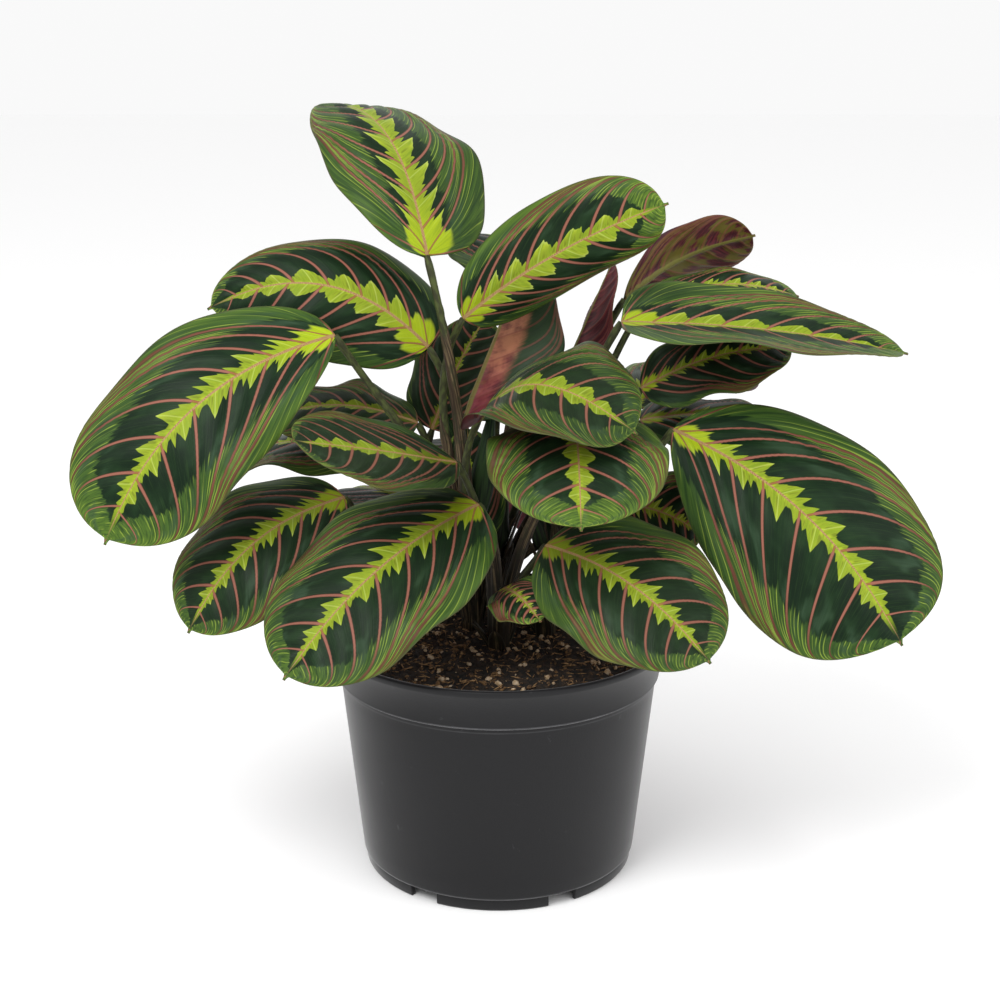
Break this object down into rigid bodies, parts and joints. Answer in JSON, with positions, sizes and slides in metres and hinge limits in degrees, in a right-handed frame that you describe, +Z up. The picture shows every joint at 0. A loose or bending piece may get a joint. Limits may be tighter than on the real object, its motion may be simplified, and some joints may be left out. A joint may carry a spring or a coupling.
{
  "type": "potted prayer plant maranta",
  "caption": "Red-veined prayer plant with patterned oval leaves on slim stalks, growing from soil in a round tapered nursery pot.",
  "frame": {"origin": "middle of the whole plant's bounding box, on the level that the pot stands on; the pot's own axis is upright and stands 3.5 mm to -X and 19 mm to -Y of it", "axes": "+Z up along the pot's axis, -Y the front, +X to the right seen from the front"},
  "size_m": [0.314, 0.2067, 0.2882],
  "materials": {
    "pot_plastic": "matte",
    "potting_soil": "matte",
    "leaf_blade": "satin",
    "leaf_stalk": "satin"
  },
  "bodies": {
    "root": {"pot": "pot_plastic", "soil": "potting_soil", "shoot_front": "leaf_stalk", "shoot_middle": "leaf_stalk", "shoot_left": "leaf_stalk", "shoot_right": "leaf_stalk", "shoot_back_right": "leaf_stalk", "shoot_back": "leaf_stalk", "leaf_01": "leaf_blade", "leaf_02": "leaf_blade", "leaf_03": "leaf_blade", "leaf_04": "leaf_blade", "leaf_05": "leaf_blade", "leaf_06": "leaf_blade", "leaf_07": "leaf_blade", "leaf_08": "leaf_blade", "leaf_09": "leaf_blade", "leaf_10": "leaf_blade", "leaf_11": "leaf_blade", "leaf_12": "leaf_blade", "leaf_13": "leaf_blade", "leaf_14": "leaf_blade", "leaf_15": "leaf_blade", "leaf_16": "leaf_blade", "leaf_17": "leaf_blade", "leaf_18": "leaf_blade", "leaf_19": "leaf_blade", "leaf_20": "leaf_blade", "leaf_21": "leaf_blade", "leaf_22": "leaf_blade", "leaf_23": "leaf_blade", "leaf_24": "leaf_blade", "leaf_25": "leaf_blade", "leaf_26": "leaf_blade", "leaf_27": "leaf_blade", "leaf_28": "leaf_blade", "leaf_29": "leaf_blade", "leaf_30": "leaf_blade", "leaf_31": "leaf_blade", "leaf_32": "leaf_blade", "leaf_33": "leaf_blade"}
  },
  "joints": []
}
